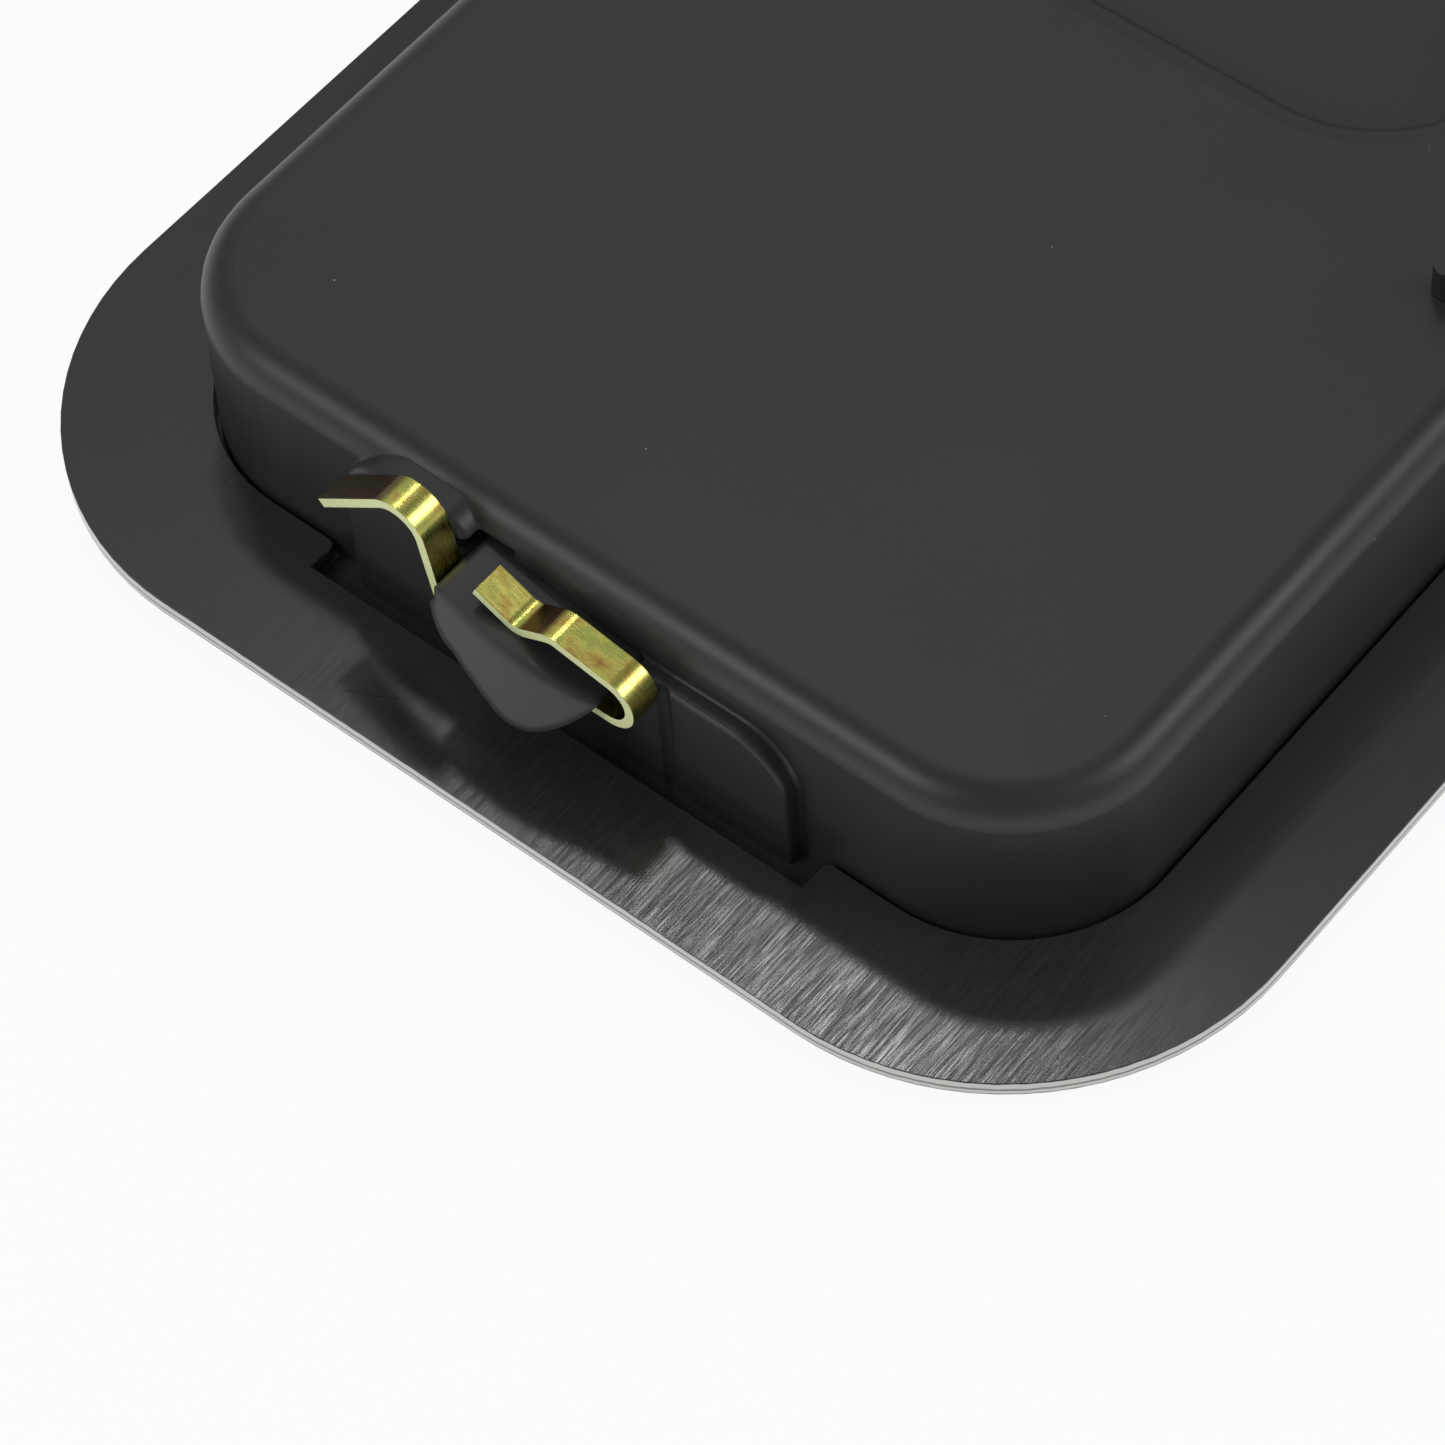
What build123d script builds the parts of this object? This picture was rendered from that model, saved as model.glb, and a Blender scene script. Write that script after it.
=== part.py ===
from math import cos, radians, sin, tan
import os

from build123d import *

# Flush bolt latch unit. Millimetres, +Z to the rear of the unit, bolt thrown towards -Y.
# Origin: middle of the front face of the dish's lip.

# Driving dimensions: face plate, lip and tape
PLATE_W = 110.0
PLATE_L = 160.0
PLATE_T = 1.5
PLATE_R = 24.5
LIP_T = 1.2
LIP_OVERLAP = 4.0
LIP_EDGE_R = 0.7
TAPE_T = 0.3
CUTOUT_W = 87.8
CUTOUT_L = 135.8
CUTOUT_R = 13.7
NOTCH_W = 47.4
NOTCH_DEPTH = 2.8
NOTCH_THROAT_R = 0.8
EDGE_BREAK = 0.12
TAPE_INSET = 0.5

# Driving dimensions: rear housing
HOUSING_TOP = 18.4
HOUSING_GAP = 0.3
HOUSING_WALL = 2.0
HOUSING_DRAFT = 1.0
DRAFT_ALLOWANCE = 0.3
TOP_FILLET = 2.9
BOSS_PROUD = 1.3
LEFT_BOSS_X = (-21.0, -8.0)
LEFT_BOSS_TOP = 17.7
LEFT_BOSS_R = (5.5, 3.0)
LEFT_BOSS_EDGE_R = 0.7
RIGHT_BOSS_X = (-8.4, 21.2)
RIGHT_BOSS_TOP = 13.7
RIGHT_BOSS_R = (0.0, 5.0)
RIGHT_BOSS_EDGE_R = 0.35
BOSS_ROOT_R = 0.3
POCKET_X = (-9.7, -5.0)
POCKET_Z = (14.2, 16.25)
POCKET_DEPTH = 4.0
GROOVE_X = 10.0
GROOVE_R = 0.9
GROOVE_DEPTH = 0.33
END_BLOCK_W = 27.0
END_BLOCK_T = 2.0
RECESS_W = 53.0
RECESS_Y = (-0.2, 47.0)
RECESS_R = 12.0
RECESS_DEPTH = 4.0
RECESS_TAPER = 12.0
RECESS_FILLET = 3.4
PEG_R = 1.1
PEG_H = 3.2
PEG_X = 35.4
PEG_Y = -8.8
POST_DEPTH = 5.2

# Driving dimensions: latch nose, clip and bar
NOSE_TOP_LEFT = (-8.6, 15.65)
NOSE_TOP_RIGHT = (7.2, 13.55)
NOSE_CHEEK = ((-8.35, 13.9), (-7.3, 12.3), (-5.3, 11.45))
NOSE_KEEL = ((-1.25, 9.32), (0.75, 8.62), (2.9, 9.15))
NOSE_FLANK = (5.3, 11.1)
NOSE_TIP_Y = -75.5
RIDGE_Y = -73.75
RIDGE_X = -1.5
RIDGE_BOW_R = 29.0
NOSE_EDGE_R = 1.0
NOSE_TAIL_Y = -54.0
NOSE_PASSAGE = 2.0
NOSE_RUN_GAP = 0.15
CLIP_T = 0.8
CLIP_W = 2.8
CLIP_BACK_GAP = 0.3
CLIP_RUN_Z = 11.25
CLIP_SLOT_GAP = 0.06
CLIP_TIP = (-19.75, 15.3)
CLIP_CREST = (-10.37, 22.6)
CLIP_CREST_R = 2.5
CLIP_HEEL_X = -8.5
CLIP_HEEL_R = 1.8
U_X = 7.3
U_R = 2.2
LEAF_SLOPE = 10.5
LEAF_CREST_X = 2.2
LEAF_VALLEY_X = -1.1
LEAF_TIP = (-4.8, 16.7)
LEAF_REST = 0.18
LEAF_R = 1.7
BAR_TOP = 13.9
BAR_T = 1.4
BAR_W = 8.0
BAR_PAD = (13.5, 8.0)
BAR_PAD_R = 2.0
BAR_FRONT_Y = -63.0
BAR_SEAT_GAP = 0.1
RIVET_R = 1.5
RIVET_HEAD_R = 2.2
RIVET_HEAD_T = 0.7
RIVET_Y = (-60.6, -55.9)
RIVET_FOOT_Z = 10.7

# Driving dimensions: dish, lever and crank
DISH_W = 76.0
DISH_Y = (-50.0, 56.0)
DISH_R = 12.0
DISH_FLOOR_Z = 8.0
DISH_WALL = 1.6
DISH_FLOOR_R = 2.0
SPINDLE_Y = -16.0
SPINDLE_R = 3.5
SPINDLE_NECK_R = 2.5
SPINDLE_FLATS = 4.0
SPINDLE_FRONT = 3.0
RUN_FIT = 0.04
PRESS_GAP = 0.02
BUSH_R = 5.0
BUSH_FLANGE_R = 6.6
BUSH_FLANGE_T = 0.8
WASHER_T = 0.45
WASHER_PLAY = 0.05
WASHER_BORE_GAP = 0.25
WASHER_INSET = 0.6
CRANK_R = 6.6
CRANK_T = 1.6
THROW_R = 4.6
THROW_REST = 45.0
CRANK_PIN_R = 1.0
CRANK_PIN_FOOT_R = 0.73
CRANK_PLAY = 0.2
PIN_PLAY = 0.16
SLOT_END_PLAY = 0.3
RING_T = 0.6
RING_R = 3.3
RING_SEAT_R = 1.9
RING_PLAY = 0.05
RING_MOUTH = 1.6
LEVER_L = 54.0
LEVER_W = 11.0
LEVER_T = 4.2
LEVER_EDGE_R = 1.0
LEVER_HUB_R = 9.0
LEVER_NECK_R = 8.0
LEVER_PLAY = 0.1
LEVER_PIN_INSET = 1.3
LEVER_PIN_BEHIND = 2.0
LEVER_FRONT = 0.8
LEVER_PIN_R = 1.0

# Driving dimensions: screws
SCREW_R = 1.5
SCREW_HEAD_R = 2.9
SCREW_HEAD_T = 1.5
SCREW_HOLE_GAP = 0.04
RECESS_ARM = 2.6
RECESS_SLIT = 0.6
RECESS_DEEP = 0.6
SCREW_BOSS_R = 3.6
CORNER_SCREW_X = 31.5
CORNER_SCREW_Y = (-42.0, 48.5)
PAD_SCREW_Y = (12.0, 34.0)
GUIDE_SCREW_X = 10.2
GUIDE_SCREW_Y = -58.0
GUIDE_SIZE = (28.0, 9.0, 13.2)
GUIDE_CORNER_R = 1.5
GUIDE_SCREW_HEAD_T = 0.8
GUIDE_SCREW_END = 7.4
PAD_SCREW_REACH = 5.4

# Depth by which one form runs into another that it joins
MERGE = 0.5

# Worked out from the driving dimensions
PLATE_Z0 = LIP_T + TAPE_T
PLATE_Z1 = PLATE_Z0 + PLATE_T
HOUSING_W = CUTOUT_W - 2 * HOUSING_GAP
HOUSING_L = CUTOUT_L - 2 * HOUSING_GAP
HOUSING_R = CUTOUT_R - HOUSING_GAP
WALL_Y = -HOUSING_L / 2
BOSS_Y = WALL_Y - BOSS_PROUD
INNER_W = HOUSING_W - 2 * (HOUSING_WALL + DRAFT_ALLOWANCE)
INNER_L = HOUSING_L - 2 * (HOUSING_WALL + DRAFT_ALLOWANCE)
INNER_R = HOUSING_R - HOUSING_WALL
INNER_TOP = HOUSING_TOP - HOUSING_WALL
RECESS_MID_Y = sum(RECESS_Y) / 2
RECESS_L = RECESS_Y[1] - RECESS_Y[0]
RECESS_FLOOR = HOUSING_TOP - RECESS_DEPTH
PAD_UNDER = RECESS_FLOOR - HOUSING_WALL
LIP_W = CUTOUT_W + 2 * LIP_OVERLAP
LIP_L = CUTOUT_L + 2 * LIP_OVERLAP
LIP_R = CUTOUT_R + LIP_OVERLAP
DISH_BACK = DISH_FLOOR_Z + DISH_WALL
DISH_MID_Y = sum(DISH_Y) / 2
DISH_L = DISH_Y[1] - DISH_Y[0]
CLIP_BACK_Y = BOSS_Y - CLIP_BACK_GAP
CLIP_FRONT_Y = CLIP_BACK_Y - CLIP_W
U_Z = CLIP_RUN_Z + U_R
U_END = (U_X + U_R * sin(radians(LEAF_SLOPE)), U_Z + U_R * cos(radians(LEAF_SLOPE)))
LEAF_CREST = (LEAF_CREST_X, U_END[1] + (U_END[0] - LEAF_CREST_X) * tan(radians(LEAF_SLOPE)))
NOSE_FALL = (NOSE_TOP_LEFT[1] - NOSE_TOP_RIGHT[1]) / (NOSE_TOP_RIGHT[0] - NOSE_TOP_LEFT[0])
RIDGE_Z = NOSE_TOP_LEFT[1] - NOSE_FALL * (RIDGE_X - NOSE_TOP_LEFT[0])
VALLEY_TOP = NOSE_TOP_LEFT[1] - NOSE_FALL * (LEAF_VALLEY_X - NOSE_TOP_LEFT[0])
LEAF_VALLEY = (LEAF_VALLEY_X, VALLEY_TOP + CLIP_T / 2 - LEAF_REST)
KEEL_Z = NOSE_KEEL[1][1]
SLOPE_RUN = (RIDGE_Y - NOSE_TIP_Y) / (RIDGE_Z - KEEL_Z)
BAR_Z0 = BAR_TOP - BAR_T
PIN_X = THROW_R * cos(radians(THROW_REST))
PIN_Y = SPINDLE_Y + THROW_R * sin(radians(THROW_REST))
CRANK_Z0 = DISH_BACK + WASHER_T + 2 * WASHER_PLAY
CRANK_Z1 = CRANK_Z0 + CRANK_T
SPINDLE_END = BAR_Z0 - CRANK_PLAY
LEVER_BACK = DISH_FLOOR_Z - BUSH_FLANGE_T - LEVER_PLAY
LEVER_PIN_Z = SPINDLE_FRONT + LEVER_PIN_BEHIND
RIVETS = [(0.0, y) for y in RIVET_Y]
CORNER_SCREWS = [(x, y) for x in (-CORNER_SCREW_X, CORNER_SCREW_X) for y in CORNER_SCREW_Y]
PAD_SCREWS = [(0.0, y) for y in PAD_SCREW_Y]
GUIDE_SCREWS = [(-GUIDE_SCREW_X, GUIDE_SCREW_Y), (GUIDE_SCREW_X, GUIDE_SCREW_Y)]


def cutout_outline():
    """Returns the plate's cut-out with its shallow notch at the latch end."""
    with BuildSketch() as outline:
        RectangleRounded(CUTOUT_W, CUTOUT_L, CUTOUT_R)
        with Locations((0, -(CUTOUT_L + NOTCH_DEPTH) / 2)):
            Rectangle(NOTCH_W, NOTCH_DEPTH)
    return outline.sketch


def nose_outline(gap=0.0):
    """Returns the nose's section, leaning on top and narrowing to a round keel, grown by a gap."""
    with BuildSketch() as outline:
        with BuildLine():
            Polyline(NOSE_TOP_RIGHT, NOSE_TOP_LEFT, NOSE_CHEEK[0])
            ThreePointArc(*NOSE_CHEEK)
            Line(NOSE_CHEEK[2], NOSE_KEEL[0])
            ThreePointArc(*NOSE_KEEL)
            ThreePointArc(NOSE_KEEL[2], NOSE_FLANK, NOSE_TOP_RIGHT)
        make_face()
        if gap:
            offset(amount=gap)
    return outline.sketch


def end_boss(x_range, top, corners, edge_r):
    """Returns one boss of the end wall: rounded top corners and softened front edges."""
    with BuildPart() as boss:
        with BuildSketch(Plane.XZ.offset(-BOSS_Y)) as outline:
            with Locations((sum(x_range) / 2, (LIP_T + top) / 2)):
                Rectangle(x_range[1] - x_range[0], top - LIP_T)
            if corners[0]:
                fillet(outline.vertices().group_by(Axis.Y)[-1].sort_by(Axis.X)[0], corners[0])
            fillet(outline.vertices().group_by(Axis.Y)[-1].sort_by(Axis.X)[-1], corners[1])
        extrude(amount=-(BOSS_PROUD + HOUSING_WALL))
        front = boss.faces().filter_by(Plane.XZ).sort_by(Axis.Y)[0]
        fillet(front.edges().sort_by(Axis.Z)[1:], edge_r)
    return boss.part


def at_boss_root(edge):
    """Says whether an edge of the housing runs where a boss meets the end wall."""
    middle = edge.center()
    on_end_wall = WALL_Y < middle.Y < WALL_Y + TOP_FILLET / 2
    beside_boss = abs(middle.X) < NOTCH_W / 2 and PLATE_Z1 < middle.Z < HOUSING_TOP
    across = edge.geom_type != GeomType.LINE or abs(edge.tangent_at(0).Y) < 0.5
    return on_end_wall and beside_boss and across and edge.length < NOTCH_W / 1.5


def rounds(spots, radius, z0, z1, mode=Mode.ADD):
    """Adds or cuts round posts between two heights in the part being built."""
    with BuildSketch(Plane.XY.offset(z0)) as outline:
        with Locations(*spots):
            Circle(radius)
    extrude(outline.sketch, amount=z1 - z0, mode=mode)


def drilled(spots, radius, z0, z1):
    """Cuts round holes between two heights in the part being built."""
    rounds(spots, radius, z0, z1, Mode.SUBTRACT)


with BuildPart() as face_plate:
    with BuildSketch(Plane.XY.offset(PLATE_Z0)):
        RectangleRounded(PLATE_W, PLATE_L, PLATE_R)
    extrude(amount=PLATE_T)
    with BuildSketch(Plane.XY.offset(PLATE_Z0)) as plate_opening:
        add(cutout_outline())
        level_with_end = plate_opening.vertices().group_by(Axis.Y)[1]
        throat = level_with_end.sort_by(lambda vertex: abs(abs(vertex.X) - NOTCH_W / 2))[:2]
        fillet(throat, NOTCH_THROAT_R)
    extrude(amount=PLATE_T, mode=Mode.SUBTRACT)
    chamfer(face_plate.faces().sort_by(Axis.Z)[-1].inner_wires().edges(), EDGE_BREAK)

with BuildPart() as lip_tape:
    with BuildSketch(Plane.XY.offset(LIP_T)):
        RectangleRounded(LIP_W - 2 * TAPE_INSET, LIP_L - 2 * TAPE_INSET, LIP_R - TAPE_INSET)
    extrude(amount=TAPE_T)
    with BuildSketch(Plane.XY.offset(LIP_T)):
        add(cutout_outline())
    extrude(amount=TAPE_T, mode=Mode.SUBTRACT)

left_boss = end_boss(LEFT_BOSS_X, LEFT_BOSS_TOP, LEFT_BOSS_R, LEFT_BOSS_EDGE_R)
right_boss = end_boss(RIGHT_BOSS_X, RIGHT_BOSS_TOP, RIGHT_BOSS_R, RIGHT_BOSS_EDGE_R)

with BuildPart() as rear_housing:
    with BuildSketch(Plane.XY.offset(LIP_T)):
        RectangleRounded(HOUSING_W, HOUSING_L, HOUSING_R)
    extrude(amount=HOUSING_TOP - LIP_T, taper=HOUSING_DRAFT)
    fillet(rear_housing.faces().sort_by(Axis.Z)[-1].edges(), TOP_FILLET)
    # Hollow inside, open at the front
    with BuildSketch(Plane.XY.offset(LIP_T)):
        RectangleRounded(INNER_W, INNER_L, INNER_R)
    extrude(amount=INNER_TOP - LIP_T, taper=HOUSING_DRAFT, mode=Mode.SUBTRACT)
    # Bosses outside the end wall and the thick block inside it
    add(left_boss)
    add(right_boss)
    fillet(rear_housing.edges().filter_by(at_boss_root), BOSS_ROOT_R)
    with Locations((0, WALL_Y + HOUSING_WALL + END_BLOCK_T / 2, (LIP_T + INNER_TOP) / 2)):
        Box(END_BLOCK_W, END_BLOCK_T + 2 * MERGE, INNER_TOP - LIP_T)
    # Pocket over the nose, shallow groove beside it and the nose's window
    with BuildSketch(Plane.XZ.offset(-BOSS_Y)):
        with Locations((sum(POCKET_X) / 2, sum(POCKET_Z) / 2)):
            Rectangle(POCKET_X[1] - POCKET_X[0], POCKET_Z[1] - POCKET_Z[0])
    extrude(amount=-POCKET_DEPTH, mode=Mode.SUBTRACT)
    groove_y = BOSS_Y + GROOVE_DEPTH - GROOVE_R
    rounds([(GROOVE_X, groove_y)], GROOVE_R, LIP_T, RIGHT_BOSS_TOP, Mode.SUBTRACT)
    with BuildSketch(Plane.XZ.offset(-BOSS_Y)):
        add(nose_outline(NOSE_RUN_GAP))
    extrude(amount=-(BOSS_PROUD + HOUSING_WALL + END_BLOCK_T + NOSE_PASSAGE), mode=Mode.SUBTRACT)
    # Recess in the rear with its pad underneath
    with Locations((0, RECESS_MID_Y, (PAD_UNDER + INNER_TOP) / 2)):
        Box(RECESS_W + 2 * HOUSING_WALL, RECESS_L + 2 * HOUSING_WALL, INNER_TOP - PAD_UNDER)
    with BuildSketch(Plane.XY.offset(HOUSING_TOP)):
        with Locations((0, RECESS_MID_Y)):
            RectangleRounded(RECESS_W, RECESS_L, RECESS_R)
    extrude(amount=-RECESS_DEPTH, taper=RECESS_TAPER, mode=Mode.SUBTRACT)
    rear_face = rear_housing.faces().filter_by(Plane.XY).sort_by(Axis.Z)[-1]
    fillet(rear_face.inner_wires().edges(), RECESS_FILLET)
    # Pegs on the rear, screw posts inside and their pilot holes
    rounds([(-PEG_X, PEG_Y), (PEG_X, PEG_Y)], PEG_R, HOUSING_TOP - MERGE, HOUSING_TOP + PEG_H)
    rounds(CORNER_SCREWS, SCREW_BOSS_R, DISH_BACK, INNER_TOP + MERGE)
    drilled(CORNER_SCREWS, SCREW_R + SCREW_HOLE_GAP, DISH_BACK, DISH_BACK + POST_DEPTH)
    drilled(PAD_SCREWS, SCREW_R + SCREW_HOLE_GAP, PAD_UNDER, RECESS_FLOOR)

with BuildPart() as latch_nose:
    with BuildSketch(Plane.XZ.offset(-NOSE_TIP_Y)):
        add(nose_outline())
    extrude(amount=-(NOSE_TAIL_Y - NOSE_TIP_Y))
    # Sloped face, bowed out between the ridge and the keel
    bow_axis_y = RIDGE_Y + RIDGE_BOW_R
    with BuildSketch(Plane.YZ.offset(RIDGE_X)):
        with BuildLine():
            Polyline(
                (NOSE_TIP_Y - NOSE_PASSAGE, KEEL_Z - NOSE_PASSAGE),
                (NOSE_TIP_Y, KEEL_Z - NOSE_PASSAGE),
                (NOSE_TIP_Y, KEEL_Z),
                (RIDGE_Y, RIDGE_Z),
                (RIDGE_Y + NOSE_PASSAGE * SLOPE_RUN, RIDGE_Z + NOSE_PASSAGE),
                (NOSE_TIP_Y - NOSE_PASSAGE, RIDGE_Z + NOSE_PASSAGE),
                close=True,
            )
        make_face()
    revolve(axis=Axis((RIDGE_X, bow_axis_y, 0), (0, 0, 1)), mode=Mode.SUBTRACT)
    nose_top = latch_nose.faces().filter_by(GeomType.PLANE).sort_by(Axis.Z)[-1]
    fillet(nose_top.edges().sort_by(Axis.Y)[:-1], NOSE_EDGE_R)
    # Cross slot for the clip and the seat of the bar
    with Locations((0, (CLIP_FRONT_Y + CLIP_BACK_Y) / 2, CLIP_RUN_Z)):
        Box(2 * CUTOUT_R, CLIP_W + 2 * CLIP_SLOT_GAP, CLIP_T + 2 * CLIP_SLOT_GAP, mode=Mode.SUBTRACT)
    seat_top = NOSE_TOP_LEFT[1]
    with Locations((0, (BAR_FRONT_Y + NOSE_TAIL_Y) / 2, (BAR_Z0 + seat_top) / 2)):
        seat_l = NOSE_TAIL_Y - BAR_FRONT_Y + BAR_SEAT_GAP
        Box(BAR_W + BAR_SEAT_GAP, seat_l, seat_top - BAR_Z0, mode=Mode.SUBTRACT)
    drilled(RIVETS, RIVET_R + SCREW_HOLE_GAP, RIVET_FOOT_Z, BAR_TOP)

with BuildPart() as nose_clip:
    with BuildSketch(Plane.XZ.offset(-CLIP_FRONT_Y)):
        with BuildLine() as clip_leg:
            FilletPolyline(
                CLIP_TIP,
                CLIP_CREST,
                (CLIP_HEEL_X, CLIP_RUN_Z),
                (U_X, CLIP_RUN_Z),
                radius=[CLIP_CREST_R, CLIP_HEEL_R],
            )
        trace(clip_leg.edges(), line_width=CLIP_T)
        with BuildLine() as clip_bend:
            ThreePointArc((U_X, CLIP_RUN_Z), (U_X + U_R, U_Z), U_END)
        trace(clip_bend.edges(), line_width=CLIP_T)
        with BuildLine() as clip_leaf:
            FilletPolyline(U_END, LEAF_CREST, LEAF_VALLEY, LEAF_TIP, radius=LEAF_R)
        trace(clip_leaf.edges(), line_width=CLIP_T)
    extrude(amount=-CLIP_W)

with BuildPart() as bolt_bar:
    with BuildSketch(Plane.XY.offset(BAR_Z0)):
        with Locations((0, (BAR_FRONT_Y + PIN_Y) / 2)):
            Rectangle(BAR_W, PIN_Y - BAR_FRONT_Y)
        with Locations((PIN_X - CRANK_PIN_R, PIN_Y)):
            RectangleRounded(*BAR_PAD, BAR_PAD_R)
    extrude(amount=BAR_T)
    with BuildSketch(Plane.XY.offset(BAR_Z0)):
        with Locations(((PIN_X + THROW_R) / 2, PIN_Y)):
            SlotCenterToCenter(THROW_R - PIN_X + SLOT_END_PLAY, 2 * (CRANK_PIN_R + PIN_PLAY))
    extrude(amount=BAR_T, mode=Mode.SUBTRACT)
    drilled(RIVETS, RIVET_R + SCREW_HOLE_GAP, BAR_Z0, BAR_TOP)
    drilled(RIVETS, RIVET_HEAD_R + SCREW_HOLE_GAP, BAR_TOP - RIVET_HEAD_T, BAR_TOP)

with BuildPart() as bar_rivets:
    rounds(RIVETS, RIVET_R, RIVET_FOOT_Z, BAR_TOP)
    rounds(RIVETS, RIVET_HEAD_R, BAR_TOP - RIVET_HEAD_T, BAR_TOP)

with BuildPart() as nose_guide:
    with Locations((0, GUIDE_SCREW_Y, LIP_T + GUIDE_SIZE[2] / 2)):
        Box(*GUIDE_SIZE)
    fillet(nose_guide.edges().filter_by(Axis.Z), GUIDE_CORNER_R)
    with BuildSketch(Plane.XZ.offset(-GUIDE_SCREW_Y + GUIDE_SIZE[1])):
        add(nose_outline(NOSE_RUN_GAP))
    extrude(amount=-2 * GUIDE_SIZE[1], mode=Mode.SUBTRACT)
    drilled(GUIDE_SCREWS, SCREW_R + SCREW_HOLE_GAP, LIP_T, GUIDE_SCREW_END + SCREW_HOLE_GAP)

with BuildPart() as front_dish:
    with BuildSketch():
        RectangleRounded(LIP_W, LIP_L, LIP_R)
    extrude(amount=LIP_T)
    fillet(front_dish.faces().sort_by(Axis.Z)[0].edges(), LIP_EDGE_R)
    with BuildSketch(Plane.XY.offset(LIP_T)):
        with Locations((0, DISH_MID_Y)):
            RectangleRounded(DISH_W + 2 * DISH_WALL, DISH_L + 2 * DISH_WALL, DISH_R + DISH_WALL)
    extrude(amount=DISH_BACK - LIP_T)
    with BuildSketch():
        with Locations((0, DISH_MID_Y)):
            RectangleRounded(DISH_W, DISH_L, DISH_R)
    extrude(amount=DISH_FLOOR_Z, mode=Mode.SUBTRACT)
    floor = front_dish.faces().filter_by_position(Axis.Z, DISH_FLOOR_Z - 0.1, DISH_FLOOR_Z + 0.1)
    fillet(floor.edges(), DISH_FLOOR_R)
    rounds(PAD_SCREWS, SCREW_BOSS_R, DISH_FLOOR_Z + MERGE, PAD_UNDER)
    drilled([(0, SPINDLE_Y)], BUSH_R + RUN_FIT, DISH_FLOOR_Z, DISH_BACK)
    drilled(CORNER_SCREWS, SCREW_R + SCREW_HOLE_GAP, DISH_FLOOR_Z, DISH_BACK)
    drilled(PAD_SCREWS, SCREW_R + SCREW_HOLE_GAP, DISH_FLOOR_Z + MERGE, PAD_UNDER)
    drilled(GUIDE_SCREWS, SCREW_HEAD_R + SCREW_HOLE_GAP, 0, GUIDE_SCREW_HEAD_T)
    drilled(GUIDE_SCREWS, SCREW_R + SCREW_HOLE_GAP, 0, LIP_T)

with BuildPart() as spindle_bush:
    rounds([(0, SPINDLE_Y)], BUSH_R, DISH_FLOOR_Z, DISH_BACK)
    rounds([(0, SPINDLE_Y)], BUSH_FLANGE_R, DISH_FLOOR_Z - BUSH_FLANGE_T, DISH_FLOOR_Z)
    drilled([(0, SPINDLE_Y)], SPINDLE_R + RUN_FIT, DISH_FLOOR_Z - BUSH_FLANGE_T, DISH_BACK)

with BuildPart() as lever_spindle:
    rounds([(0, SPINDLE_Y)], SPINDLE_R, SPINDLE_FRONT, CRANK_Z0)
    with BuildSketch(Plane.XY.offset(CRANK_Z0)):
        with Locations((0, SPINDLE_Y)):
            Circle(SPINDLE_NECK_R)
            Rectangle(2 * SPINDLE_NECK_R, SPINDLE_FLATS, mode=Mode.INTERSECT)
    extrude(amount=SPINDLE_END - CRANK_Z0)
    with BuildSketch(Plane.XY.offset(CRANK_Z1)):
        with Locations((0, SPINDLE_Y)):
            Circle(SPINDLE_R)
            Circle(RING_SEAT_R, mode=Mode.SUBTRACT)
    extrude(amount=RING_T + 2 * RING_PLAY, mode=Mode.SUBTRACT)
    with BuildSketch(Plane.YZ):
        with Locations((SPINDLE_Y, LEVER_PIN_Z)):
            Circle(LEVER_PIN_R + PRESS_GAP)
    extrude(amount=SPINDLE_R + 1, both=True, mode=Mode.SUBTRACT)

with BuildPart() as wave_washer:
    with BuildSketch(Plane.XY.offset(DISH_BACK + WASHER_PLAY)):
        with Locations((0, SPINDLE_Y)):
            Circle(BUSH_FLANGE_R - WASHER_INSET)
            Circle(SPINDLE_R + WASHER_BORE_GAP, mode=Mode.SUBTRACT)
    extrude(amount=WASHER_T)

with BuildPart() as crank_plate:
    rounds([(0, SPINDLE_Y)], CRANK_R, CRANK_Z0, CRANK_Z1)
    with BuildSketch(Plane.XY.offset(CRANK_Z0)):
        with Locations((0, SPINDLE_Y)):
            Circle(SPINDLE_NECK_R + PRESS_GAP)
            Rectangle(2 * SPINDLE_R, SPINDLE_FLATS + 2 * PRESS_GAP, mode=Mode.INTERSECT)
    extrude(amount=CRANK_T, mode=Mode.SUBTRACT)
    drilled([(PIN_X, PIN_Y)], CRANK_PIN_FOOT_R + PRESS_GAP, CRANK_Z0, CRANK_Z1)

with BuildPart() as crank_pin:
    rounds([(PIN_X, PIN_Y)], CRANK_PIN_FOOT_R, CRANK_Z0, CRANK_Z1)
    rounds([(PIN_X, PIN_Y)], CRANK_PIN_R, CRANK_Z1, BAR_TOP - CRANK_PLAY)

with BuildPart() as spindle_clip:
    with BuildSketch(Plane.XY.offset(CRANK_Z1 + RING_PLAY)):
        with Locations((0, SPINDLE_Y)):
            Circle(RING_R)
            Circle(RING_SEAT_R + RING_PLAY, mode=Mode.SUBTRACT)
        with Locations((-SPINDLE_R, SPINDLE_Y)):
            Rectangle(2 * SPINDLE_R, RING_MOUTH, mode=Mode.SUBTRACT)
    extrude(amount=RING_T)

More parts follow.
